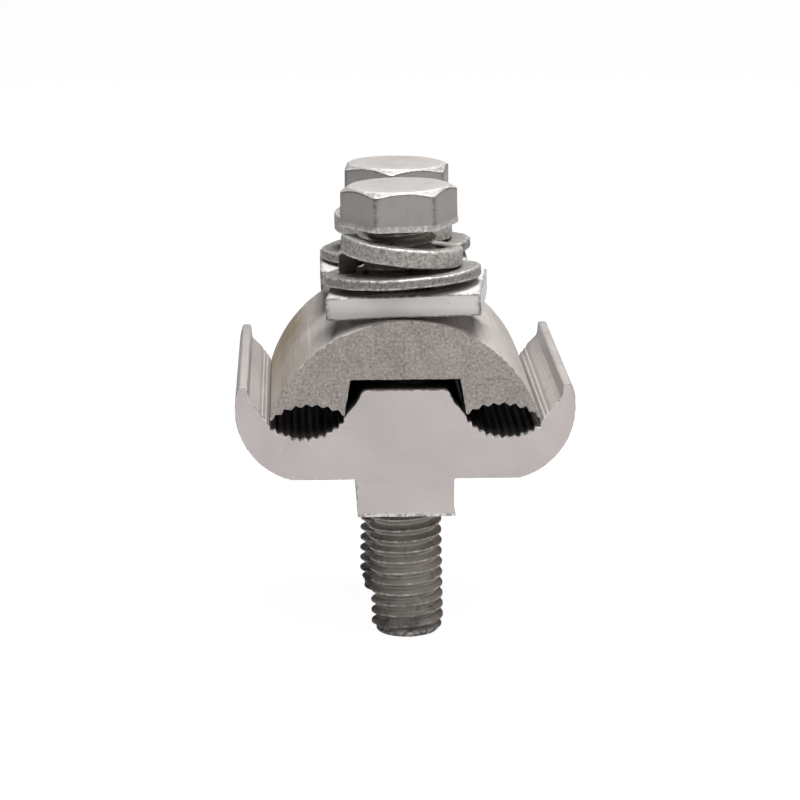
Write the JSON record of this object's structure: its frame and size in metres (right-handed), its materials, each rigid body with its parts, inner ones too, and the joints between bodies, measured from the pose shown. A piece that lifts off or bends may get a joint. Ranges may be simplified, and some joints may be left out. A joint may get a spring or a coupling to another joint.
{
  "type": "parallel groove clamp",
  "caption": "Bolted clamp that grips parallel overhead line conductors between a serrated lower trough and an arched keeper.",
  "frame": {"origin": "midway between the two conductor grooves, halfway along the keeper", "axes": "+Z towards the bolt heads, +Y along the conductors, +X across the clamp"},
  "size_m": [0.0452, 0.0431, 0.0621],
  "materials": {
    "body_aluminium": "extruded and sawn, dull",
    "keeper_aluminium": "extruded, rough sawn face",
    "plate_aluminium": "sheared flat bar, smooth and dull",
    "zinc_washer": "hot dip galvanised, mottled",
    "zinc_spring": "hot dip galvanised, mottled",
    "zinc_bolt": "galvanised, smooth flats"
  },
  "bodies": {
    "lower_body": {"lower_body": "body_aluminium"},
    "keeper": {"keeper": "keeper_aluminium", "front_pressure_plate": "plate_aluminium", "front_flat_washer": "zinc_washer", "front_spring_washer": "zinc_spring", "rear_pressure_plate": "plate_aluminium", "rear_flat_washer": "zinc_washer", "rear_spring_washer": "zinc_spring"},
    "front_bolt": {"front_bolt": "zinc_bolt"},
    "rear_bolt": {"rear_bolt": "zinc_bolt"}
  },
  "joints": [
    {"name": "keeper_lift", "type": "slide", "parent": "lower_body", "child": "keeper", "axis": [0, 0, 1], "range_m": [0, 0.012]},
    {"name": "front_bolt_turn", "type": "hinge", "parent": "keeper", "child": "front_bolt", "pos_m": [0.00007, -0.0108, -0.0043], "axis": [-0.0175, 0, 0.9998], "range_deg": [0, 2880]},
    {"name": "rear_bolt_turn", "type": "hinge", "parent": "keeper", "child": "rear_bolt", "pos_m": [-0.00033, 0.0108, -0.0043], "axis": [0.0094, 0, 1], "range_deg": [0, 2880]}
  ],
  "couplings": [
    {"joint": "front_bolt_turn", "follows": "keeper_lift", "rad_per_m": 4188.8},
    {"joint": "rear_bolt_turn", "follows": "keeper_lift", "rad_per_m": 4188.8}
  ]
}
